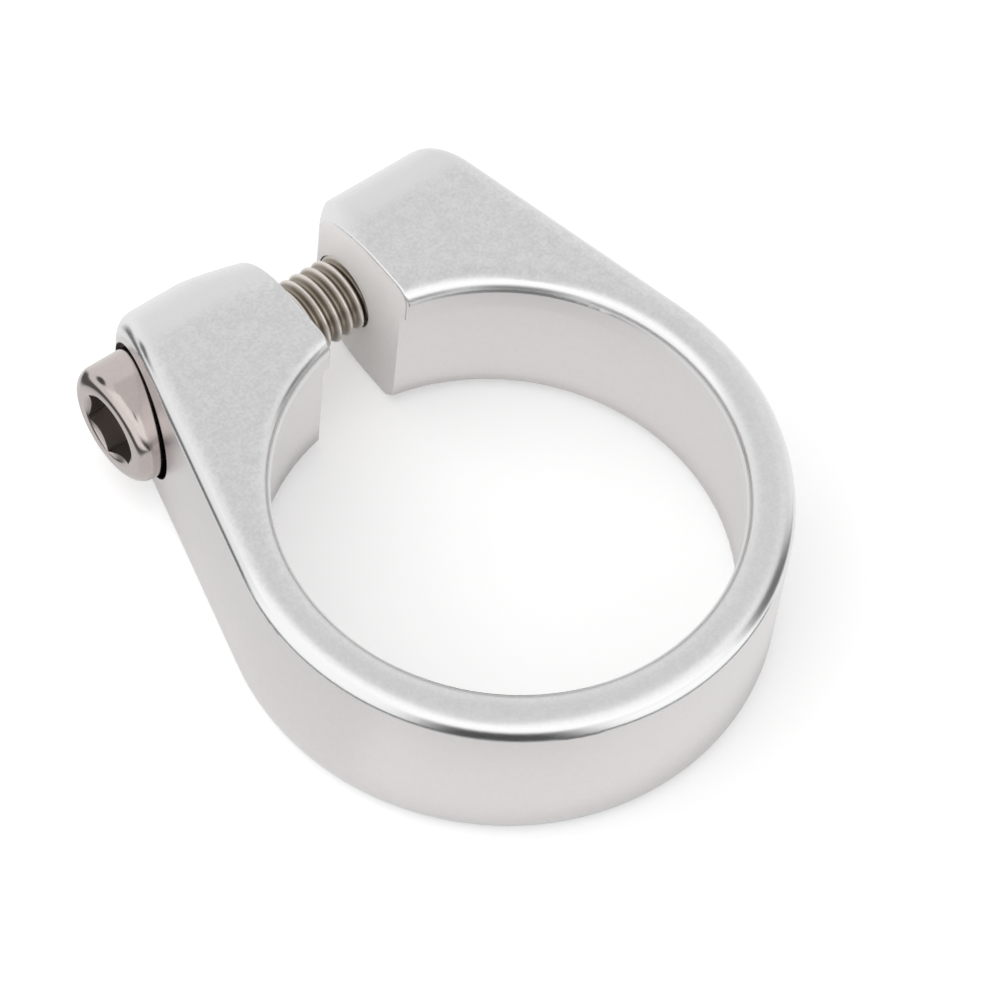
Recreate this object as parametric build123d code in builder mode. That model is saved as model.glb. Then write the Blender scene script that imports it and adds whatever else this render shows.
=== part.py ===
"""Seatpost clamp: a one-piece split collar with two ears, closed by a socket head bolt.

The origin lies on the bore axis, at the shoulder that stops on the end of the seat tube.
+Z points up the seatpost, the ears reach towards +Y, and the bolt lies along X with its head at -X.
Lengths are in millimetres, angles in degrees.
"""

from build123d import *
from math import cos, radians
import os

# Collar: ring, lip and edges
seat_tube_d = 34.9
wall = 2.8
height = 14.7
lip_height = 3.1
lip_step = 0.65
bore_chamfer = 1.0
outer_edge_r = 1.6
lip_edge_r = 1.4
rim_land = 0.2

# Collar: slot and flanks
flank_angle = 14.3
slot_width = 6.8
slot_edge_break = 0.25

# Collar: ear with the bolt head, a little longer, with a long soft corner at the slot
head_ear_length = 9.15
head_end_round = 6.4
head_corner_x = 12.0
head_corner_r = 28.0
head_corner_turn = 22.0
head_corner_round = 6.0

# Collar: ear with the threaded hole, with a short corner at the slot
thread_ear_length = 8.4
thread_end_round = 5.2
thread_corner_x = 6.95
thread_corner_r = 4.4
thread_corner_turn = 60.0
thread_corner_round = 3.7
corner_over = 0.1

# Bolt
thread_d = 6.0
bolt_length = 27.0
bolt_edge_distance = 5.8
bolt_height = 6.8
tip_chamfer = 0.7
head_d = 9.3
head_height = 4.55
head_round = 1.1
head_land = 9.75
socket_width = 5.0
socket_depth = 3.0
socket_turn = 30.0
socket_mouth_d = 6.5

# Clearances
thread_clearance = 0.05
shank_clearance = 0.15
pocket_clearance = 0.4
seat_clearance = 0.05

# Derived sizes of the collar
bore_r = seat_tube_d / 2
ring_r = bore_r + wall
lip_r = bore_r - lip_step
head_reach = ring_r + head_ear_length
thread_reach = ring_r + thread_ear_length
base_z = lip_height - height
mid_z = lip_height - height / 2
rim_room = 0.48 * (wall + lip_step)
outer_room = 0.58 * wall
chamfer_room = 0.36 * wall
end_room = 0.49 * height
rim_r = max(lip_r + min(lip_edge_r, rim_room), bore_r + min(bore_chamfer, chamfer_room)) + rim_land

# Derived places of the bolt
bolt_y = head_reach - bolt_edge_distance
bolt_z = base_z + bolt_height
floor_x = -(slot_width / 2 + head_land)
seat_x = floor_x - seat_clearance
thread_r = thread_d / 2 - thread_clearance
mouth_r = socket_mouth_d / 2
mouth_depth = mouth_r - socket_width / 2
head_room = 0.9 * (head_d / 2 - mouth_r)

os.makedirs("parts", exist_ok=True)


def ear_space(reach, end_round, corner_x, corner_r, corner_turn, corner_round):
    """Space that cuts back only the ear at +X: a straight rounded end, whose corner at the slot turns back."""
    corner_reach = reach + corner_over
    with BuildPart() as corner_space:
        with BuildSketch(Plane.XY.offset(base_z)):
            with BuildLine():
                end = Line((3 * ring_r, corner_reach), (corner_x, corner_reach))
                corner = JernArc(end @ 1, end % 1, corner_r, corner_turn)
                back = PolarLine(corner @ 1, (corner @ 1).X / cos(radians(corner_turn)), 180 + corner_turn)
                Polyline(back @ 1, (0, 0), (3 * ring_r, 0), end @ 0)
            make_face()
        extrude(amount=height)
        end_face = corner_space.faces().sort_by(Axis.Y)[-1]
        fillet(end_face.edges().filter_by(Axis.X), min(corner_round, end_room))

    with BuildPart() as space:
        with Locations((ring_r, reach / 2, mid_z)):
            Box(2 * ring_r, reach, height)
        end_face = space.faces().sort_by(Axis.Y)[-1]
        fillet(end_face.edges().filter_by(Axis.X), min(end_round, end_room))
        add(corner_space.part, mode=Mode.INTERSECT)

        # Blocks over the ring, over the rim of its bore and over the other ear
        with Locations((0, -0.5 * ring_r, mid_z)):
            Box(4 * ring_r, 2.6 * ring_r, height)
        with Locations((0, 0, mid_z)):
            Cylinder(rim_r, height)
        with Locations((-ring_r, ring_r, mid_z)):
            Box(2 * ring_r, 2 * ring_r, height)
    return space.part


thread_space = ear_space(
    thread_reach, thread_end_round, thread_corner_x, thread_corner_r, thread_corner_turn, thread_corner_round
)
head_space = ear_space(
    head_reach, head_end_round, head_corner_x, head_corner_r, head_corner_turn, head_corner_round
)

# Collar, bent round the seat tube and split between the ears
with BuildPart() as collar:
    with BuildSketch(Plane.XY.offset(base_z)):
        with BuildLine():
            ring = CenterArc((0, 0), ring_r, -90, 90 + flank_angle)
            flank = PolarLine(ring @ 1, head_reach, 90 + flank_angle)
            Line(flank @ 1, (0, (flank @ 1).Y))
            mirror(about=Plane.YZ)
        make_face()
    extrude(amount=height)
    add(thread_space, mode=Mode.INTERSECT)
    add(mirror(head_space, about=Plane.YZ, mode=Mode.PRIVATE), mode=Mode.INTERSECT)

    # One round runs along the whole outer edge: over the ring, the flanks and the ear ends
    ring_face = collar.faces().filter_by(GeomType.CYLINDER).sort_by(Axis.Y)[0]
    fillet(ring_face.edges().filter_by(GeomType.CIRCLE), min(outer_edge_r, outer_room))

    # Bore from below, up to the lip that stops on the seat tube
    with Locations(Plane((0, 0, base_z), z_dir=(0, 0, -1))):
        CounterBoreHole(lip_r, bore_r, height - lip_height)
    fillet(collar.faces().sort_by(Axis.Z)[-1].inner_wires().edges(), min(lip_edge_r, rim_room))
    chamfer(collar.faces().sort_by(Axis.Z)[0].inner_wires().edges(), min(bore_chamfer, chamfer_room))

    # Slot between the ears, with its upper edges broken
    with Locations((0, head_reach / 2, mid_z)):
        Box(slot_width, head_reach, height, mode=Mode.SUBTRACT)
    slot_faces = collar.faces().filter_by(Plane.YZ).filter_by_position(Axis.X, -slot_width, slot_width)
    fillet(slot_faces.edges().group_by(Axis.Z)[-1], slot_edge_break)

    # Pocket for the bolt head and clearance hole through the first ear
    with BuildSketch(Plane((floor_x, bolt_y, bolt_z), x_dir=(0, 1, 0), z_dir=(-1, 0, 0))):
        Circle(head_d / 2 + pocket_clearance)
    extrude(amount=ring_r, mode=Mode.SUBTRACT)
    with BuildSketch(Plane((0, bolt_y, bolt_z), x_dir=(0, 1, 0), z_dir=(-1, 0, 0))):
        Circle(thread_d / 2 + shank_clearance)
    extrude(amount=ring_r, mode=Mode.SUBTRACT)

    # Threaded hole through the second ear
    with BuildSketch(Plane((0, bolt_y, bolt_z), x_dir=(0, 1, 0), z_dir=(1, 0, 0))):
        Circle(thread_d / 2)
    extrude(amount=ring_r, mode=Mode.SUBTRACT)

# Bolt: cap head with a countersunk hex socket, and a threaded shank at its nominal diameter
with BuildPart() as bolt:
    axis_plane = Plane((seat_x, bolt_y, bolt_z), x_dir=(1, 0, 0), z_dir=(0, 0, 1))
    with BuildSketch(axis_plane) as half:
        with BuildLine():
            Polyline(
                (mouth_depth - head_height, 0),
                (mouth_depth - head_height, socket_width / 2),
                (-head_height, mouth_r),
                (-head_height, head_d / 2),
                (0, head_d / 2),
                (0, thread_r),
                (bolt_length, thread_r),
                (bolt_length, 0),
                close=True,
            )
        make_face()
        fillet(half.vertices().group_by(Axis.X)[0].sort_by(Axis.Y)[-1], min(head_round, head_room))
        chamfer(half.vertices().group_by(Axis.X)[-1].sort_by(Axis.Y)[-1], tip_chamfer)
    revolve(axis=Axis((seat_x, bolt_y, bolt_z), (1, 0, 0)))
    mouth_plane = Plane((seat_x - head_height, bolt_y, bolt_z), x_dir=(0, 1, 0), z_dir=(-1, 0, 0))
    with BuildSketch(mouth_plane):
        RegularPolygon(socket_width / 2, 6, major_radius=False, rotation=socket_turn)
    extrude(amount=-socket_depth, mode=Mode.SUBTRACT)

collar.part.label = "collar"
export_step(collar.part, "parts/collar.step")
bolt.part.label = "bolt"
export_step(bolt.part, "parts/bolt.step")
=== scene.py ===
"""Seatpost clamp, dressed for the camera.

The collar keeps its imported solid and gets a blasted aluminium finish. The bolt is rebuilt as one closed
surface with a helical thread, a rounded cap head and a countersunk hex socket.
Lengths are in metres and angles in radians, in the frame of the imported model.
"""

from math import cos, pi, radians, sin

import bpy
import numpy as np
from mathutils import Matrix, Vector


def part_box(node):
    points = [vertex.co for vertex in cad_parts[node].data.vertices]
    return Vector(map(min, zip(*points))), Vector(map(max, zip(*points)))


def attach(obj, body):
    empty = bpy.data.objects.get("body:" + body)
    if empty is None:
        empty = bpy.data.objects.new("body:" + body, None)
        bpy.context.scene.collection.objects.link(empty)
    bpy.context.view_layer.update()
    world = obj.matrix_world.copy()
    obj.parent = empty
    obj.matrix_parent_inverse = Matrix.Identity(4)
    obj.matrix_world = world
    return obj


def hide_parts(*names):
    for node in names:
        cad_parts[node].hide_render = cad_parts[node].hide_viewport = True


bl_info = {
    "name": "Seatpost Clamp",
    "version": (1, 0, 0),
    "blender": (4, 5, 0),
    "location": "View3D > Sidebar > Clamp",
    "description": "Dresses a packed seatpost clamp: collar finish, threaded bolt and studio",
    "category": "Object",
}

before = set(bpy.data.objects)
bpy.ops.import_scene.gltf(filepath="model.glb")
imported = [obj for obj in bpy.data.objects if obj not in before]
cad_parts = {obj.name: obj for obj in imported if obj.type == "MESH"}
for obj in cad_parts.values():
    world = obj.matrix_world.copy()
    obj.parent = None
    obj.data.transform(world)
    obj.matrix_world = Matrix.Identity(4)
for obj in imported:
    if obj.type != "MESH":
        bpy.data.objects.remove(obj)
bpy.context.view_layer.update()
BOLT_LOW, BOLT_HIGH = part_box("bolt")
COLLAR_LOW, COLLAR_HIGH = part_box("collar")

# Middle line of the bolt, along X, and the radius of its head
BOLT_Y = (BOLT_LOW.y + BOLT_HIGH.y) / 2
BOLT_Z = (BOLT_LOW.z + BOLT_HIGH.z) / 2
HEAD_RADIUS = (BOLT_HIGH.y - BOLT_LOW.y) / 2

# Where the collar's finishes fade: off the slot, at the ear ends, along the ears and into the pocket's
# painted shade
SLOT_FADE = (0.0042, 0.0038)
EAR_END_FADE = (0.0230, 0.0246)
EARS_FADE = (-0.004, 0.012)
POCKET_FADE = (-0.0130, -0.0131)
POCKET_GAP = 0.0004

# Patches of the light tent, each laid over the ones before: the span of azimuth from -Y towards +X,
# the span of elevation from the clamp's upper edge, the width of the soft border, all in degrees,
# and the shade
TENT_PATCHES = (
    # Painted shade on the floor near the clamp, then the bank above the camera's side, the left side and the
    # front right
    ((-200, 200), (-90, -55), 8, 0.88),
    ((-130, 60), (8, 62), 14, 1.22),
    ((-120, -68), (-36, 25), 16, 1.12),
    ((-6, 46), (-36, 4), 16, 1.18),
    # Painted shade on the floor by the left flank, and a dark line of painted shadow on the floor round the
    # front and the left
    ((-150, -70), (-90, -55), 14, 0.78),
    ((-158, 45), (-51, -40), 5, 0.10),
    # Dark patches of painted reflection: the bolt head's shadow on the floor, and darkness before the camera,
    # at the right and above the camera
    ((-158, -118), (-52, -28), 8, 0.12),
    ((-58, -16), (-46, 4), 18, 0.07),
    ((44, 70), (-26, 24), 14, 0.15),
    ((-54, -34), (50, 66), 10, 0.30),
)
TENT_OVERHEAD = 0.78
TENT_SIDES = 0.93
CLOTH_LIFT = 0.0002


# Settings


class ClampBoltSettings(bpy.types.PropertyGroup):
    """Sizes of the bolt that its packed box doesn't give."""

    head_height: bpy.props.FloatProperty(
        name="Head height",
        description="From the seat under the head to its face",
        default=0.00455,
        unit="LENGTH",
    )
    rim_round: bpy.props.FloatProperty(
        name="Rim round",
        description="Radius of the round between the side and the face of the head",
        default=0.0011,
        unit="LENGTH",
    )
    crest_radius: bpy.props.FloatProperty(
        name="Crest radius",
        description="Radius over the crests of the thread",
        default=0.00295,
        unit="LENGTH",
    )
    pitch: bpy.props.FloatProperty(
        name="Pitch",
        description="Distance from one crest of the thread to the next",
        default=0.001,
        unit="LENGTH",
    )
    thread_depth: bpy.props.FloatProperty(
        name="Thread depth",
        description="From the crest of the thread to its root",
        default=0.00045,
        unit="LENGTH",
    )
    socket_width: bpy.props.FloatProperty(
        name="Socket width",
        description="Width of the hex socket across its flats",
        default=0.005,
        unit="LENGTH",
    )
    socket_depth: bpy.props.FloatProperty(
        name="Socket depth",
        description="Depth of the hex walls below the face of the head",
        default=0.003,
        unit="LENGTH",
    )
    mouth_radius: bpy.props.FloatProperty(
        name="Socket mouth radius",
        description="Radius of the countersink at the face of the head",
        default=0.00295,
        unit="LENGTH",
    )
    socket_turn: bpy.props.FloatProperty(
        name="Socket turn",
        description="Angle of the first corner of the hex about the bolt's axis",
        default=radians(30.0),
        subtype="ANGLE",
    )


class ClampFinishSettings(bpy.types.PropertyGroup):
    """Colours of the metals, and the size of the blasted grain."""

    blasted_color: bpy.props.FloatVectorProperty(
        name="Blasted aluminium",
        description="Colour of the blasted top and bottom faces",
        default=(0.74, 0.74, 0.745),
        subtype="COLOR",
        size=3,
    )
    bright_color: bpy.props.FloatVectorProperty(
        name="Bright aluminium",
        description="Colour of the smooth rounds along the edges and of the ear ends",
        default=(0.82, 0.82, 0.825),
        subtype="COLOR",
        size=3,
    )
    satin_color: bpy.props.FloatVectorProperty(
        name="Satin aluminium",
        description="Colour of the upright walls and of the bore",
        default=(0.80, 0.775, 0.77),
        subtype="COLOR",
        size=3,
    )
    sawn_color: bpy.props.FloatVectorProperty(
        name="Sawn aluminium",
        description="Colour of the faces of the slot",
        default=(0.93, 0.91, 0.90),
        subtype="COLOR",
        size=3,
    )
    plated_color: bpy.props.FloatVectorProperty(
        name="Plated head",
        description="Colour of the plated bolt head",
        default=(0.58, 0.52, 0.50),
        subtype="COLOR",
        size=3,
    )
    oily_color: bpy.props.FloatVectorProperty(
        name="Oily thread",
        description="Colour of the roots of the thread",
        default=(0.30, 0.265, 0.22),
        subtype="COLOR",
        size=3,
    )
    # Painted shade: the walls and the countersink of the hex socket are darker than the head for the shade in
    # the recess
    socket_shade_color: bpy.props.FloatVectorProperty(
        name="Socket",
        description="Colour of the walls of the hex socket",
        default=(0.44, 0.40, 0.38),
        subtype="COLOR",
        size=3,
    )
    # Painted shade: the dark colour of the narrow pocket round the bolt head stands in for the shadow in it
    pocket_shade_color: bpy.props.FloatVectorProperty(
        name="Shaded",
        description="Colour of the narrow pocket round the bolt head",
        default=(0.12, 0.105, 0.10),
        subtype="COLOR",
        size=3,
    )
    # Painted highlight: the crests of the thread are lighter than its oily roots for the light they catch
    crest_highlight_color: bpy.props.FloatVectorProperty(
        name="Lit crests",
        description="Colour of the crests of the thread",
        default=(0.80, 0.75, 0.70),
        subtype="COLOR",
        size=3,
    )
    grain_size: bpy.props.FloatProperty(
        name="Grain size",
        description="Size of one dimple of the blasted finish",
        default=0.00026,
        unit="LENGTH",
    )


class ClampStageSettings(bpy.types.PropertyGroup):
    """Camera and studio."""

    azimuth: bpy.props.FloatProperty(
        name="Azimuth",
        description="Camera's angle round +Z, from -Y towards +X",
        default=radians(-44.122),
        subtype="ANGLE",
    )
    elevation: bpy.props.FloatProperty(
        name="Elevation",
        description="Camera's angle above the floor",
        default=radians(57.691),
        subtype="ANGLE",
    )
    roll: bpy.props.FloatProperty(
        name="Roll",
        description="Camera's turn about its own axis",
        default=radians(7.744),
        subtype="ANGLE",
    )
    distance: bpy.props.FloatProperty(
        name="Distance",
        description="From the camera to the point it aims at",
        default=0.364713,
        unit="LENGTH",
    )
    lens: bpy.props.FloatProperty(
        name="Lens",
        description="Focal length in millimetres on a 36 mm sensor",
        default=181.054,
    )
    aim: bpy.props.FloatVectorProperty(
        name="Aim",
        description="Point aimed at, right and up in the picture from the bore axis on the floor",
        default=(0.00029, 0.00635),
        size=2,
        unit="LENGTH",
    )
    floor_color: bpy.props.FloatVectorProperty(
        name="Floor",
        description="Colour of the floor",
        default=(0.93, 0.93, 0.93),
        subtype="COLOR",
        size=3,
    )
    tent_radius: bpy.props.FloatProperty(
        name="Tent radius",
        description="Radius of the light tent that only reflections show",
        default=0.15,
        unit="LENGTH",
    )


# Mesh helpers


def link_piece(name, points, faces):
    """Object at the origin with a mesh of the points and the faces, linked to the scene."""
    mesh = bpy.data.meshes.new(name)
    mesh.from_pydata(points.tolist(), [], faces)
    mesh.update()
    piece = bpy.data.objects.new(name, mesh)
    bpy.context.scene.collection.objects.link(piece)
    return piece


def piece_from_rings(name, x, radius, turn):
    """Closed surface of rings about the bolt's middle line.

    Ring i, column j lies at x[i, j] and at radius[i, j] from the line, at the angle turn[j]. The first
    and the last ring have no radius, so each is one point, a pole.
    """
    rows, columns = x.shape
    ring = np.stack([x, BOLT_Y + radius * np.cos(turn), BOLT_Z + radius * np.sin(turn)], axis=-1)
    points = np.concatenate([ring[0, :1], ring[1:-1].reshape(-1, 3), ring[-1, :1]])
    index = np.arange(1, (rows - 2) * columns + 1).reshape(rows - 2, columns)
    beside = np.roll(index, -1, axis=1)
    quads = np.stack([index[:-1], index[1:], beside[1:], beside[:-1]], axis=-1).reshape(-1, 4)
    first_fan = np.stack([np.zeros(columns, int), index[0], beside[0]], axis=-1)
    last_fan = np.stack([np.full(columns, len(points) - 1), beside[-1], index[-1]], axis=-1)
    return link_piece(name, points, quads.tolist() + first_fan.tolist() + last_fan.tolist())


def piece_from_sheet(name, points):
    """Open sheet through a grid of points with the shape (rows, columns, 3)."""
    rows, columns = points.shape[:2]
    index = np.arange(rows * columns).reshape(rows, columns)
    quads = np.stack(
        [index[:-1, :-1], index[:-1, 1:], index[1:, 1:], index[1:, :-1]], axis=-1
    ).reshape(-1, 4)
    return link_piece(name, points.reshape(-1, 3), quads.tolist())


def smooth_but_sharp(mesh, angle, keep_smooth_from_x):
    """Smooth shading, with edges over the angle sharp on the side below the given x."""
    mesh.shade_smooth()
    mesh.set_sharp_from_angle(angle=angle)
    ends = np.empty(len(mesh.edges) * 2, dtype=np.int32)
    mesh.edges.foreach_get("vertices", ends)
    place = np.empty(len(mesh.vertices) * 3)
    mesh.vertices.foreach_get("co", place)
    edge_x = place.reshape(-1, 3)[ends.reshape(-1, 2), 0].max(axis=1)
    sharp = np.zeros(len(mesh.edges), dtype=bool)
    marks = mesh.attributes["sharp_edge"].data
    marks.foreach_get("value", sharp)
    marks.foreach_set("value", sharp & (edge_x < keep_smooth_from_x))


# Bolt surface


def thread_profile(phase, flat_crest, flat_root):
    """Height of the thread, from 0 at the root to 1 at the crest, over one pitch.

    The phase runs from 0 to 1 with the crest in its middle. The flanks between the two flats are a
    straight line mixed with a smooth step, which rounds where they meet the flats.
    """
    rounding = 0.35
    away = np.abs(phase - 0.5) * 2
    flank = np.clip((1 - flat_root - away) / (1 - flat_root - flat_crest), 0, 1)
    return flank * flank * (3 - 2 * flank) * rounding + flank * (1 - rounding)


def bolt_rings(sizes):
    """Rings of the whole bolt from the middle of its tip to the middle of its socket's floor.

    The radius of the thread is the crest radius less the depth times one minus the profile, whose phase
    moves along X by one pitch for each turn about +X, as on a right-hand thread. The hex has the radius
    of half its width over the cosine of the angle to the middle of the nearest flat, and the countersink
    is a shallow cone, which meets each flat of the hex in a scallop.
    """
    columns = 120
    rows_per_pitch = 22
    tip_rows = 6
    side_rows = 5
    tip_x = BOLT_HIGH.x
    face_x = BOLT_LOW.x
    seat_x = face_x + sizes.head_height
    tip_chamfer = 0.0007
    seat_chamfer = 0.0002
    mouth_land = 0.0001
    flat_crest = 0.1
    flat_root = 0.16
    turn = np.linspace(0, 2 * pi, columns, endpoint=False)
    ones = np.ones(columns)

    # Threaded shank, rounded off by the tip's chamfer and run out below the head
    length = tip_x - seat_x
    along = np.linspace(0, 1, int(length / sizes.pitch * rows_per_pitch) + 1)
    thread_x = (tip_x - along * length)[:, None] * ones
    phase = (thread_x - sizes.pitch * turn / (2 * pi)) / sizes.pitch % 1.0
    root_r = sizes.crest_radius - sizes.thread_depth
    thread_r = root_r + sizes.thread_depth * thread_profile(phase, flat_crest, flat_root)
    thread_r = np.minimum(thread_r, sizes.crest_radius - tip_chamfer + (tip_x - thread_x))
    tip_r = sizes.crest_radius - tip_chamfer
    tip_rings = np.linspace(0, tip_r * 0.98, tip_rows)[:, None] * ones

    # Head from its seat to the edge of the countersink
    rim = np.linspace(0, pi / 2, 14)
    side_x = np.linspace(seat_x - seat_chamfer, face_x + sizes.rim_round, side_rows)
    head_x = np.concatenate(
        [[seat_x, seat_x], side_x, face_x + sizes.rim_round * (1 - np.sin(rim[1:])), [face_x]]
    )
    head_radius = np.concatenate(
        [
            [root_r, HEAD_RADIUS - seat_chamfer],
            np.full(side_rows, HEAD_RADIUS),
            HEAD_RADIUS - sizes.rim_round * (1 - np.cos(rim[1:])),
            [sizes.mouth_radius + mouth_land],
        ]
    )

    # Countersink, hex walls and a floor left by the drill
    sector = pi / 3
    to_flat = (turn - sizes.socket_turn) % sector - sector / 2
    hex_r = sizes.socket_width / 2 / np.cos(to_flat)
    mouth_steps = np.array([0.0, 0.3, 0.7, 0.97, 1.0])[:, None]
    mouth_r = sizes.mouth_radius + (hex_r - sizes.mouth_radius) * mouth_steps
    mouth_slope = 0.7
    mouth_x = face_x + (sizes.mouth_radius - mouth_r) * mouth_slope
    wall_steps = np.array([0.03, 0.3, 0.6, 0.9, 1.0])[:, None]
    wall_x = mouth_x[-1] + (face_x + sizes.socket_depth - mouth_x[-1]) * wall_steps
    wall_r = hex_r * np.ones_like(wall_steps)
    floor_steps = np.array([0.9, 0.8, 0.4, 0.0])[:, None]
    floor_r = np.minimum(hex_r, sizes.socket_width / 2) * floor_steps
    point_depth = sizes.socket_width * 0.12
    floor_x = face_x + sizes.socket_depth + point_depth * (1 - floor_steps / floor_steps[0]) * ones

    x = np.concatenate(
        [tip_x * np.ones((tip_rows, columns)), thread_x, head_x[:, None] * ones, mouth_x, wall_x, floor_x]
    )
    radius = np.concatenate(
        [tip_rings, thread_r, head_radius[:, None] * ones, mouth_r, wall_r, floor_r]
    )
    return x, radius, turn


# Shader helpers


def plug(tree, socket, value):
    """Links the input socket to the value if that is a socket too, else sets it; a colour gets its alpha."""
    if isinstance(value, bpy.types.NodeSocket):
        tree.links.new(value, socket)
    elif socket.type == "RGBA":
        socket.default_value = (*value, 1.0)
    else:
        socket.default_value = value


def add_node(tree, kind, place, **values):
    """A node of the kind at the place, with each value plugged into the input of its name."""
    node = tree.nodes.new(kind)
    node.location = place
    for name, value in values.items():
        plug(tree, node.inputs[name.replace("_", " ")], value)
    return node


def add_math(tree, operation, place, *values):
    """A Math node of the operation over its values or sockets; gives its output."""
    node = tree.nodes.new("ShaderNodeMath")
    node.operation = operation
    node.location = place
    for socket, value in zip(node.inputs, values):
        plug(tree, socket, value)
    return node.outputs[0]


def add_ramp(tree, value, low, high, place):
    """A smooth step of the value: 0 at low and 1 at high."""
    node = add_node(tree, "ShaderNodeMapRange", place, Value=value, From_Min=low, From_Max=high)
    node.interpolation_type = "SMOOTHSTEP"
    return node.outputs["Result"]


def add_mix(tree, factor, first, second, place, blend="MIX"):
    """A colour mix: the first colour at factor 0, and the second, or its blend with the first, at 1."""
    node = tree.nodes.new("ShaderNodeMix")
    node.data_type = "RGBA"
    node.blend_type = blend
    node.location = place
    for socket, value in ((node.inputs[0], factor), (node.inputs[6], first), (node.inputs[7], second)):
        plug(tree, socket, value)
    return node.outputs[2]


def add_spread(tree, value, low, high, place):
    """A straight line over the value: low at 0 and high at 1."""
    node = add_node(tree, "ShaderNodeMapRange", place, Value=value, To_Min=low, To_Max=high)
    return node.outputs["Result"]


def new_material(name):
    """An empty node material with its output and its Principled shader."""
    material = bpy.data.materials.new(name)
    material.use_nodes = True
    tree = material.node_tree
    tree.nodes.clear()
    output = add_node(tree, "ShaderNodeOutputMaterial", (600, 0))
    shader = add_node(tree, "ShaderNodeBsdfPrincipled", (300, 0))
    tree.links.new(shader.outputs["BSDF"], output.inputs["Surface"])
    return material, tree, shader


def add_noise(tree, vector, scale, detail, roughness, place):
    """A Noise Texture node; gives its value."""
    node = add_node(
        tree, "ShaderNodeTexNoise", place, Vector=vector, Scale=scale, Detail=detail, Roughness=roughness
    )
    return node.outputs["Fac"]


def new_group(name, *results):
    """A shader group that takes a Vector and a Scale and puts out the results; gives its two ends too."""
    group = bpy.data.node_groups.new(name, "ShaderNodeTree")
    group.interface.new_socket("Vector", in_out="INPUT", socket_type="NodeSocketVector")
    group.interface.new_socket("Scale", in_out="INPUT", socket_type="NodeSocketFloat")
    for result in results:
        group.interface.new_socket(result, in_out="OUTPUT", socket_type="NodeSocketFloat")
    start = add_node(group, "NodeGroupInput", (-600, 0))
    end = add_node(group, "NodeGroupOutput", (400, 0))
    return group, start.outputs, end.inputs


def grain_group():
    """Group of the fine dimples that blasting leaves: a height and a tone, from two sizes of noise."""
    group = bpy.data.node_groups.get("Blasted grain")
    if group:
        return group
    group, given, results = new_group("Blasted grain", "Height", "Tone")
    broad_scale = add_math(group, "MULTIPLY", (-450, -150), given["Scale"], 0.37)
    fine = add_noise(group, given["Vector"], given["Scale"], 2.0, 0.6, (-300, 150))
    broad = add_noise(group, given["Vector"], broad_scale, 3.0, 0.5, (-300, -150))
    both = add_math(group, "MULTIPLY_ADD", (0, 0), broad, 0.6, fine)
    tone = add_ramp(group, both, 0.5, 1.1, (150, -150))
    group.links.new(both, results["Height"])
    group.links.new(tone, results["Tone"])
    return group


def smudge_group():
    """Group of faint handling marks: a slow variation over the surface, from 0 to 1."""
    group = bpy.data.node_groups.get("Handling marks")
    if group:
        return group
    group, given, results = new_group("Handling marks", "Mark")
    cloud = add_noise(group, given["Vector"], given["Scale"], 2.0, 0.5, (-300, 0))
    mark = add_ramp(group, cloud, 0.2, 0.8, (0, 0))
    group.links.new(mark, results["Mark"])
    return group


def place_group(tree, group, vector, scale, place):
    """One use of a group in a material, with its own scale."""
    node = tree.nodes.new("ShaderNodeGroup")
    node.node_tree = group
    node.location = place
    tree.links.new(vector, node.inputs["Vector"])
    node.inputs["Scale"].default_value = scale
    return node


def add_axis_distance(tree, vector, place):
    """Distance of a place from the bolt's middle line."""
    middle = (0.0, -BOLT_Y, -BOLT_Z)
    across = add_node(
        tree, "ShaderNodeMapping", place, Vector=vector, Location=middle, Scale=(0.0, 1.0, 1.0)
    )
    reach = tree.nodes.new("ShaderNodeVectorMath")
    reach.operation = "LENGTH"
    reach.location = (place[0] + 200, place[1])
    tree.links.new(across.outputs["Vector"], reach.inputs[0])
    return reach.outputs["Value"]


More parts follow.
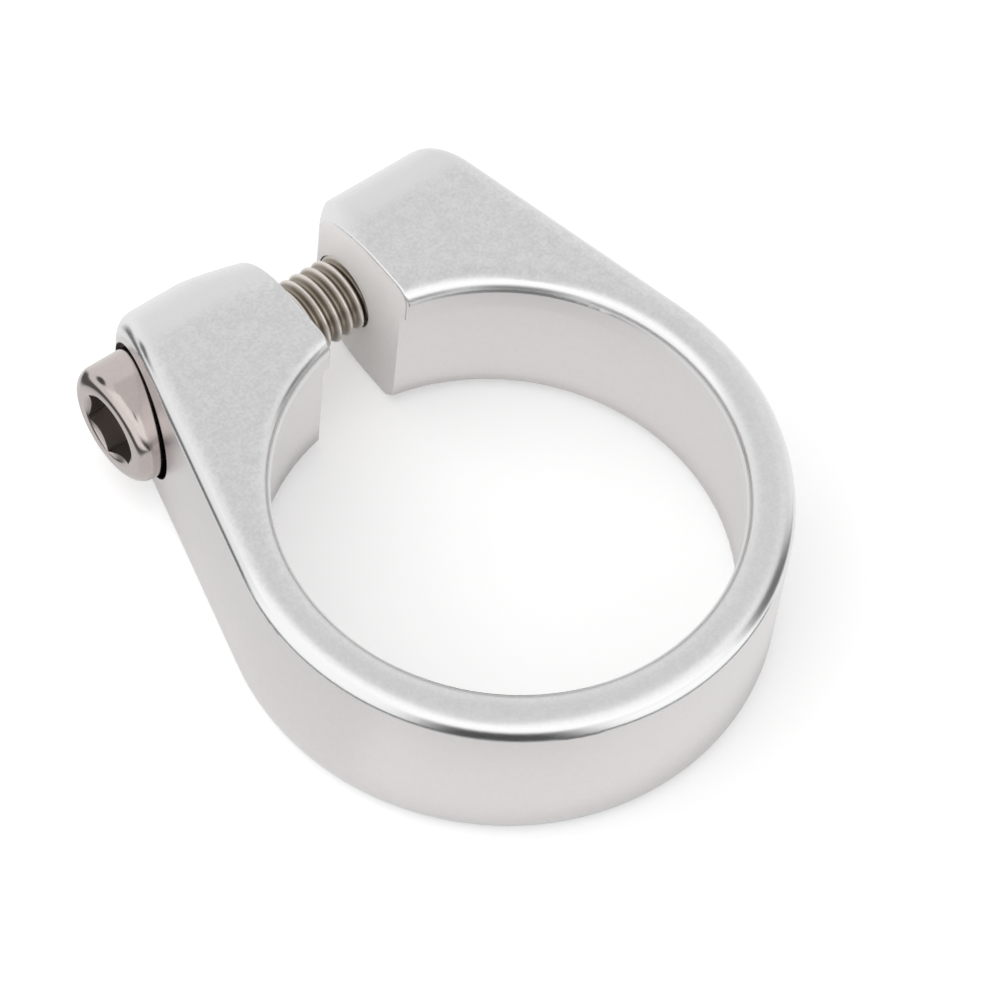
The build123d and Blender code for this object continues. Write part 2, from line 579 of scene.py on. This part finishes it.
def aluminium_material(finish):
    """Silver aluminium: blasted level faces, satin walls, sawn slot faces, bright rounds between, and painted
    shade in the pocket round the bolt head.
    """
    material, tree, shader = new_material("Silver aluminium")
    coordinates = add_node(tree, "ShaderNodeTexCoord", (-1600, 0))
    place = coordinates.outputs["Object"]
    normal = add_node(tree, "ShaderNodeSeparateXYZ", (-1400, -200), Vector=coordinates.outputs["Normal"])
    spot = add_node(tree, "ShaderNodeSeparateXYZ", (-1400, -400), Vector=place)

    # Masks of the finishes
    level = add_math(tree, "ABSOLUTE", (-1200, -200), normal.outputs["Z"])
    blasted = add_ramp(tree, level, cos(radians(50.0)), cos(radians(20.0)), (-1000, -100))
    upright = add_ramp(tree, level, sin(radians(6.0)), sin(radians(1.5)), (-1000, -250))
    across = add_math(tree, "ABSOLUTE", (-1200, -400), normal.outputs["X"])
    facing = add_ramp(tree, across, 0.98, 0.995, (-1000, -400))
    off_middle = add_math(tree, "ABSOLUTE", (-1200, -550), spot.outputs["X"])
    in_slot = add_ramp(tree, off_middle, *SLOT_FADE, (-1000, -550))
    sawn = add_math(tree, "MULTIPLY", (-800, -450), facing, in_slot)
    at_end = add_ramp(tree, spot.outputs["Y"], *EAR_END_FADE, (-1000, -700))
    off_end = add_math(tree, "MULTIPLY_ADD", (-800, -700), at_end, -0.85, 1.0)
    at_ears = add_ramp(tree, spot.outputs["Y"], *EARS_FADE, (-1000, -850))
    coarse = add_math(tree, "MULTIPLY_ADD", (-800, -850), at_ears, 0.45, 0.55)
    grainy = add_math(tree, "MULTIPLY", (-650, -700), blasted, off_end)
    grainy = add_math(tree, "MULTIPLY", (-500, -700), grainy, coarse)

    # Painted shade in the narrow pocket round the bolt head
    pocket_r = HEAD_RADIUS + POCKET_GAP
    edge_clear = 0.00006
    edge_full = 0.00002
    from_bolt = add_axis_distance(tree, place, (-1400, -1000))
    near_bolt = add_ramp(tree, from_bolt, pocket_r + edge_clear, pocket_r + edge_full, (-1000, -1000))
    outside = add_ramp(tree, spot.outputs["X"], *POCKET_FADE, (-1000, -1150))
    pocket = add_math(tree, "MULTIPLY", (-800, -1050), near_bolt, outside)

    grain = place_group(tree, grain_group(), place, 1.0 / finish.grain_size, (-1200, 300))
    marks = place_group(tree, smudge_group(), place, 160.0, (-1200, 100))

    # Colour
    walls = add_mix(tree, upright, finish.bright_color, finish.satin_color, (-700, 250))
    faces = add_mix(tree, blasted, walls, finish.blasted_color, (-550, 250))
    clean = add_mix(tree, sawn, faces, finish.sawn_color, (-400, 250))
    # The pocket round the bolt head gets its painted shade
    metal = add_mix(tree, pocket, clean, finish.pocket_shade_color, (-250, 250))
    tone = add_spread(tree, grain.outputs["Tone"], 0.90, 1.05, (-600, 450))
    dimpled = add_math(tree, "MULTIPLY_ADD", (-600, 0), upright, 0.2, grainy)
    speckled = add_mix(tree, dimpled, metal, tone, (-100, 350), blend="MULTIPLY")
    tree.links.new(speckled, shader.inputs["Base Color"])

    # Roughness of the bright rounds, and more where satin, blasted, sawn or marked
    rough = 0.20
    added = ((upright, 0.12), (blasted, 0.16), (sawn, 0.2), (marks.outputs["Mark"], 0.02))
    for step, (mask, more) in enumerate(added):
        rough = add_math(tree, "MULTIPLY_ADD", (150 * step - 600, -150), mask, more, rough)
    tree.links.new(rough, shader.inputs["Roughness"])

    # Dimples, and less metal in the pale sawn faces
    depth = add_math(tree, "ADD", (-450, -350), dimpled, 0.3)
    height = add_math(tree, "MULTIPLY", (-300, -350), grain.outputs["Height"], depth)
    bump = add_node(tree, "ShaderNodeBump", (0, -350), Height=height, Strength=0.3, Distance=0.00002)
    tree.links.new(bump.outputs["Normal"], shader.inputs["Normal"])
    metallic = add_math(tree, "MULTIPLY_ADD", (0, -150), sawn, -0.9, 1.0)
    tree.links.new(metallic, shader.inputs["Metallic"])
    return material


def bolt_material(finish, sizes):
    """Plated steel: a bright warm head, a socket darkened with painted shade, and an oily thread with a
    painted highlight on its crests.
    """
    material, tree, shader = new_material("Plated steel")
    face_x = BOLT_LOW.x
    seat_x = face_x + sizes.head_height
    coordinates = add_node(tree, "ShaderNodeTexCoord", (-1500, 0))
    place = coordinates.outputs["Object"]
    spot = add_node(tree, "ShaderNodeSeparateXYZ", (-1300, -300), Vector=place)
    radius = add_axis_distance(tree, place, (-1300, 0))

    # Masks of the crests, which get a painted highlight, the shank, and the socket, which gets painted shade
    crest_foot = sizes.crest_radius - 0.65 * sizes.thread_depth
    seat_fade = 0.0001
    mouth_fade = 0.0002
    socket_clear = face_x + 0.00003
    socket_full = face_x + 0.00025
    crest = add_ramp(tree, radius, crest_foot, sizes.crest_radius, (-800, 0))
    shank = add_ramp(tree, spot.outputs["X"], seat_x - seat_fade, seat_x + seat_fade, (-800, -300))
    inside = add_ramp(tree, radius, sizes.mouth_radius, sizes.mouth_radius - mouth_fade, (-800, -500))
    below = add_ramp(tree, spot.outputs["X"], socket_clear, socket_full, (-800, -700))
    socket = add_math(tree, "MULTIPLY", (-600, -600), inside, below)

    grain = place_group(tree, grain_group(), place, 5200.0, (-1100, 400))
    marks = place_group(tree, smudge_group(), place, 420.0, (-1100, 250))

    # Colour
    # Painted highlight on the crests over the oily colour of the roots
    thread = add_mix(tree, crest, finish.oily_color, finish.crest_highlight_color, (-500, 100))
    # The socket gets its painted shade
    head = add_mix(tree, socket, finish.plated_color, finish.socket_shade_color, (-400, -100))
    both = add_mix(tree, shank, head, thread, (-200, 100))
    tone = add_spread(tree, grain.outputs["Tone"], 0.97, 1.02, (-600, 400))
    toned = add_mix(tree, 1.0, both, tone, (0, 200), blend="MULTIPLY")
    tree.links.new(toned, shader.inputs["Base Color"])

    # Roughness and dimples
    dull = add_math(tree, "MAXIMUM", (-400, -300), shank, socket)
    rough = add_spread(tree, dull, 0.13, 0.28, (-200, -200))
    marked = add_math(tree, "MULTIPLY_ADD", (0, -200), marks.outputs["Mark"], 0.03, rough)
    tree.links.new(marked, shader.inputs["Roughness"])
    bump = add_node(
        tree, "ShaderNodeBump", (0, -400), Height=grain.outputs["Height"], Strength=0.08, Distance=0.00001
    )
    tree.links.new(bump.outputs["Normal"], shader.inputs["Normal"])
    shader.inputs["Metallic"].default_value = 1.0
    return material


# Stage


def floor_material(stage):
    """Pale floor that keeps the shadow; a little glow, for the camera alone, lifts it to white."""
    material, tree, shader = new_material("Pale floor")
    shader.inputs["Base Color"].default_value = (*stage.floor_color, 1.0)
    shader.inputs["Roughness"].default_value = 0.9
    shader.inputs["Specular IOR Level"].default_value = 0.0
    path = add_node(tree, "ShaderNodeLightPath", (-400, -300))
    lift = add_math(tree, "MULTIPLY", (100, -300), path.outputs["Is Camera Ray"], 0.30)
    glow = add_node(tree, "ShaderNodeEmission", (250, -300), Strength=lift)
    total = tree.nodes.new("ShaderNodeAddShader")
    total.location = (500, -150)
    tree.links.new(shader.outputs["BSDF"], total.inputs[0])
    tree.links.new(glow.outputs["Emission"], total.inputs[1])
    output = tree.get_output_node("ALL")
    tree.links.new(total.outputs["Shader"], output.inputs["Surface"])
    return material


def soft_step(value, edge, soft):
    """0 below the edge and 1 above it, with a smooth step of the soft width about it."""
    rise = np.clip((value - edge) / soft + 0.5, 0, 1)
    return rise**2 * (3 - 2 * rise)


def soft_window(value, low, high, soft):
    """1 between low and high, with a smooth step of the soft width to 0 about each of them."""
    return soft_step(value, low, soft) * soft_step(-value, -high, soft)


def mix_shade(first, second, window):
    """The first shade where the window is 0, and the second where it is 1."""
    return first + (second - first) * window


def outline_radius(azimuth):
    """Distance from the bore axis to the clamp's outline seen from above, at an azimuth from -Y towards +X.

    The outline is the ring's circle, then a flank along the circle's tangent, whose distance is the ring's
    radius over the cosine of the angle past the tangent point, and then the line across the ends of the ears.
    """
    ring_r = -COLLAR_LOW.y
    tangent_turn = radians(104.3)
    past = np.clip(np.abs(azimuth) - tangent_turn, 0, pi - tangent_turn)
    flank = ring_r / np.cos(past)
    end = COLLAR_HIGH.y / np.maximum(np.cos(pi - np.abs(azimuth)), 0.1)
    return np.where(past > 0, np.minimum(flank, end), ring_r)


def tent_material():
    """Cloth of the light tent: its front glows as its own attribute says, and its back is clear."""
    material = bpy.data.materials.new("Tent cloth")
    material.use_nodes = True
    tree = material.node_tree
    tree.nodes.clear()
    shade = add_node(tree, "ShaderNodeAttribute", (-200, 0))
    shade.attribute_name = "shade"
    glow = add_node(tree, "ShaderNodeEmission", (0, 0), Strength=shade.outputs["Fac"])
    clear = add_node(tree, "ShaderNodeBsdfTransparent", (0, -200))
    side = add_node(tree, "ShaderNodeNewGeometry", (0, 300))
    cloth = add_node(tree, "ShaderNodeMixShader", (200, 0), Fac=side.outputs["Backfacing"])
    tree.links.new(glow.outputs["Emission"], cloth.inputs[1])
    tree.links.new(clear.outputs["BSDF"], cloth.inputs[2])
    output = add_node(tree, "ShaderNodeOutputMaterial", (400, 0))
    tree.links.new(cloth.outputs["Shader"], output.inputs["Surface"])
    return material


def hang_cloth(name, points, shade, material):
    """Sheet of tent cloth through the points, with its shade, which only reflections show."""
    cloth = piece_from_sheet(name, points)
    cloth.data.attributes.new("shade", "FLOAT", "POINT").data.foreach_set("value", shade.ravel())
    cloth.data.materials.append(material)
    cloth.visible_camera = False
    cloth.visible_diffuse = False
    cloth.visible_shadow = False
    cloth.visible_transmission = False


def build_tent(stage):
    """Light tent round the clamp: a pale sheet with brighter and darker patches, and three small cloths.

    It is a sheet over the azimuth and over the elevation seen from the clamp's upper edge. Where that
    line of sight meets the floor within the tent, the sheet lies there, and farther out it stands upright
    at the tent's radius. The small cloths lie on the floor in the bore, stand before the near wall of the
    bore and hang beside the bolt head.
    """
    floor_z = COLLAR_LOW.z + CLOTH_LIFT
    tall = COLLAR_HIGH.z - COLLAR_LOW.z
    azimuth, elevation = np.meshgrid(np.linspace(-180, 180, 241), np.linspace(68, -84, 153))
    edge = outline_radius(np.radians(azimuth))
    slope = np.tan(np.radians(elevation))
    away = np.minimum(tall / np.maximum(-slope, 1e-6), stage.tent_radius - edge)
    far = edge + away
    points = np.stack(
        [
            far * np.sin(np.radians(azimuth)),
            -far * np.cos(np.radians(azimuth)),
            floor_z + tall + away * slope,
        ],
        axis=-1,
    )
    shade = mix_shade(TENT_OVERHEAD, TENT_SIDES, soft_window(elevation, -90, 50, 8))
    for around, rise, soft, level in TENT_PATCHES:
        window = soft_window(azimuth, *around, soft) * soft_window(elevation, *rise, soft)
        shade = mix_shade(shade, level, window)
    cloth = tent_material()
    hang_cloth("light_tent", points, shade, cloth)

    # Cloth on the floor in the bore, with a long dark spot of painted shadow that the far lip reflects
    turn, reach = np.meshgrid(np.linspace(0, 2 * pi, 73), np.linspace(0.0165, 0, 34))
    points = np.stack([reach * np.cos(turn), reach * np.sin(turn), np.full_like(turn, floor_z)], axis=-1)
    spot_x, spot_y = -0.002, -0.0033
    run_x, run_y = 0.62, 0.78
    spot_length = 0.0095
    spot_width = 0.0055
    off_x = points[..., 0] - spot_x
    off_y = points[..., 1] - spot_y
    along = run_x * off_x + run_y * off_y
    across = run_y * off_x - run_x * off_y
    outside = soft_step(np.hypot(along / spot_length, across / spot_width), 1, 0.6)
    hang_cloth("bore_floor_cloth", points, mix_shade(0.16, 0.82, outside), cloth)

    # Dark cloth of painted shade before the near wall of the bore, which the far lip reflects too
    cloth_r = 0.016
    below_rim = 0.0025
    azimuth, height = np.meshgrid(np.linspace(-72, 0, 37), np.linspace(tall - below_rim, 0, 15))
    turn = np.radians(azimuth)
    points = np.stack([cloth_r * np.sin(turn), -cloth_r * np.cos(turn), floor_z + height], axis=-1)
    inside = soft_window(azimuth, -60, -12, 16)
    hang_cloth("bore_wall_cloth", points, mix_shade(0.85, 0.25, inside), cloth)

    # Small dark card beside the bolt head, which paints a dark reflection on its rim, as pale as the tent's
    # sides at its border
    card_x, card_y, card_z = -0.0212, 0.0317, 0.0013
    run_x, run_y = 0.86, 0.5
    half = np.linspace(-0.003, 0.003, 25)
    along, height = np.meshgrid(half, half)
    points = np.stack([card_x + run_x * along, card_y + run_y * along, card_z + height], axis=-1)
    outside = soft_step(np.hypot(along, height), 0.0022, 0.0012)
    hang_cloth("head_card", points, mix_shade(0.08, TENT_SIDES, outside), cloth)


def build_world():
    """White surroundings for camera and reflections, a little greyer overhead, and softer as light."""
    world = bpy.data.worlds.new("Studio")
    world.use_nodes = True
    tree = world.node_tree
    tree.nodes.clear()
    output = add_node(tree, "ShaderNodeOutputWorld", (600, 0))
    background = add_node(tree, "ShaderNodeBackground", (400, 0))
    coordinates = add_node(tree, "ShaderNodeTexCoord", (-400, 0))
    direction = add_node(tree, "ShaderNodeSeparateXYZ", (-200, 0), Vector=coordinates.outputs["Generated"])
    overhead = add_ramp(tree, direction.outputs["Z"], 0.1, 0.8, (0, 0))
    shade = add_mix(tree, overhead, (1.0, 1.0, 1.0), (0.78, 0.78, 0.78), (200, 0))
    tree.links.new(shade, background.inputs["Color"])
    path = add_node(tree, "ShaderNodeLightPath", (-400, -300))
    seen = add_math(
        tree, "MAXIMUM", (-200, -300), path.outputs["Is Camera Ray"], path.outputs["Is Glossy Ray"]
    )
    seen = add_math(tree, "MAXIMUM", (-50, -300), seen, path.outputs["Is Transmission Ray"])
    strength = add_math(tree, "MULTIPLY_ADD", (100, -300), seen, 0.25, 0.75)
    tree.links.new(strength, background.inputs["Strength"])
    tree.links.new(background.outputs["Background"], output.inputs["Surface"])
    bpy.context.scene.world = world


def soft_box(name, place, width, power):
    """Square area lamp at the place, turned towards the origin, that reflections don't show."""
    lamp = bpy.data.lights.new(name, "AREA")
    lamp.shape = "SQUARE"
    lamp.size = width
    lamp.energy = power
    box = bpy.data.objects.new(name, lamp)
    box.location = place
    box.rotation_euler = (-Vector(place)).to_track_quat("-Z", "Y").to_euler()
    box.visible_glossy = False
    bpy.context.scene.collection.objects.link(box)


def build_camera(stage):
    """Camera on the ray at the azimuth and elevation, rolled, and aimed beside the bore axis on the floor."""
    level = cos(stage.elevation)
    back = Vector((sin(stage.azimuth) * level, -cos(stage.azimuth) * level, sin(stage.elevation)))
    right = (-back).cross(Vector((0, 0, 1))).normalized()
    up = right.cross(-back)
    turned_right = right * cos(stage.roll) + up * sin(stage.roll)
    turned_up = up * cos(stage.roll) - right * sin(stage.roll)
    aim = Vector((0, 0, COLLAR_LOW.z)) + turned_right * stage.aim[0] + turned_up * stage.aim[1]
    data = bpy.data.cameras.new("Camera")
    data.lens = stage.lens
    data.sensor_width = 36.0
    data.clip_start = 0.01
    data.clip_end = 20.0
    camera = bpy.data.objects.new("Camera", data)
    turn = Matrix((turned_right, turned_up, back)).transposed()
    camera.matrix_world = Matrix.Translation(aim + back * stage.distance) @ turn.to_4x4()
    bpy.context.scene.collection.objects.link(camera)
    bpy.context.scene.camera = camera


# Operators


class CLAMP_OT_collar(bpy.types.Operator):
    """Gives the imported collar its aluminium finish"""

    bl_idname = "clamp.collar"
    bl_label = "Dress the collar"

    def execute(self, context):
        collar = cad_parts["collar"]
        material = aluminium_material(context.scene.clamp_finish)
        collar.data.materials.clear()
        collar.data.materials.append(material)
        return {"FINISHED"}


class CLAMP_OT_bolt(bpy.types.Operator):
    """Builds the bolt with its thread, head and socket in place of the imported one"""

    bl_idname = "clamp.bolt"
    bl_label = "Build the bolt"

    def execute(self, context):
        sizes = context.scene.clamp_bolt
        x, radius, turn = bolt_rings(sizes)
        bolt = piece_from_rings("socket_head_bolt", x, radius, turn)
        smooth_but_sharp(bolt.data, radians(38.0), BOLT_LOW.x + sizes.head_height + 0.0001)
        bolt.data.materials.append(bolt_material(context.scene.clamp_finish, sizes))
        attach(bolt, "bolt")
        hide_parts("bolt")
        return {"FINISHED"}


class CLAMP_OT_stage(bpy.types.Operator):
    """Sets the floor, the light tent, the lamps, the world and the camera"""

    bl_idname = "clamp.stage"
    bl_label = "Set the stage"

    def execute(self, context):
        stage = context.scene.clamp_stage
        half_width = 2.0
        corner = np.array([-half_width, half_width])
        across, along = np.meshgrid(corner, corner)
        floor = piece_from_sheet(
            "floor", np.stack([across, along, np.full_like(across, COLLAR_LOW.z)], axis=-1)
        )
        floor.data.materials.append(floor_material(stage))
        build_tent(stage)
        soft_box("top_box", place=(-0.25, 0.25, 0.7), width=0.8, power=2.0)
        soft_box("fill_box", place=(-0.5, -0.1, 0.3), width=0.4, power=0.5)
        build_world()
        build_camera(stage)
        context.scene.view_settings.view_transform = "Standard"
        return {"FINISHED"}


class CLAMP_PT_panel(bpy.types.Panel):
    """Settings and steps of the clamp"""

    bl_idname = "CLAMP_PT_panel"
    bl_label = "Seatpost clamp"
    bl_space_type = "VIEW_3D"
    bl_region_type = "UI"
    bl_category = "Clamp"

    def draw(self, context):
        scene = context.scene
        for group in (scene.clamp_bolt, scene.clamp_finish, scene.clamp_stage):
            box = self.layout.box()
            for name in group.__annotations__:
                box.prop(group, name)
        for step in STEPS:
            self.layout.operator(step.bl_idname)


STEPS = (CLAMP_OT_collar, CLAMP_OT_bolt, CLAMP_OT_stage)
GROUPS = {
    "clamp_bolt": ClampBoltSettings,
    "clamp_finish": ClampFinishSettings,
    "clamp_stage": ClampStageSettings,
}


def register():
    """Registers the settings, the operators and the panel."""
    for name, group in GROUPS.items():
        bpy.utils.register_class(group)
        setattr(bpy.types.Scene, name, bpy.props.PointerProperty(type=group))
    for step in (*STEPS, CLAMP_PT_panel):
        bpy.utils.register_class(step)


def unregister():
    """Removes what register added."""
    for step in (CLAMP_PT_panel, *reversed(STEPS)):
        bpy.utils.unregister_class(step)
    for name, group in GROUPS.items():
        delattr(bpy.types.Scene, name)
        bpy.utils.unregister_class(group)


def main():
    """Builds the pieces in order."""
    register()
    bpy.ops.clamp.collar()
    bpy.ops.clamp.bolt()
    bpy.ops.clamp.stage()


if __name__ == "__main__":
    main()
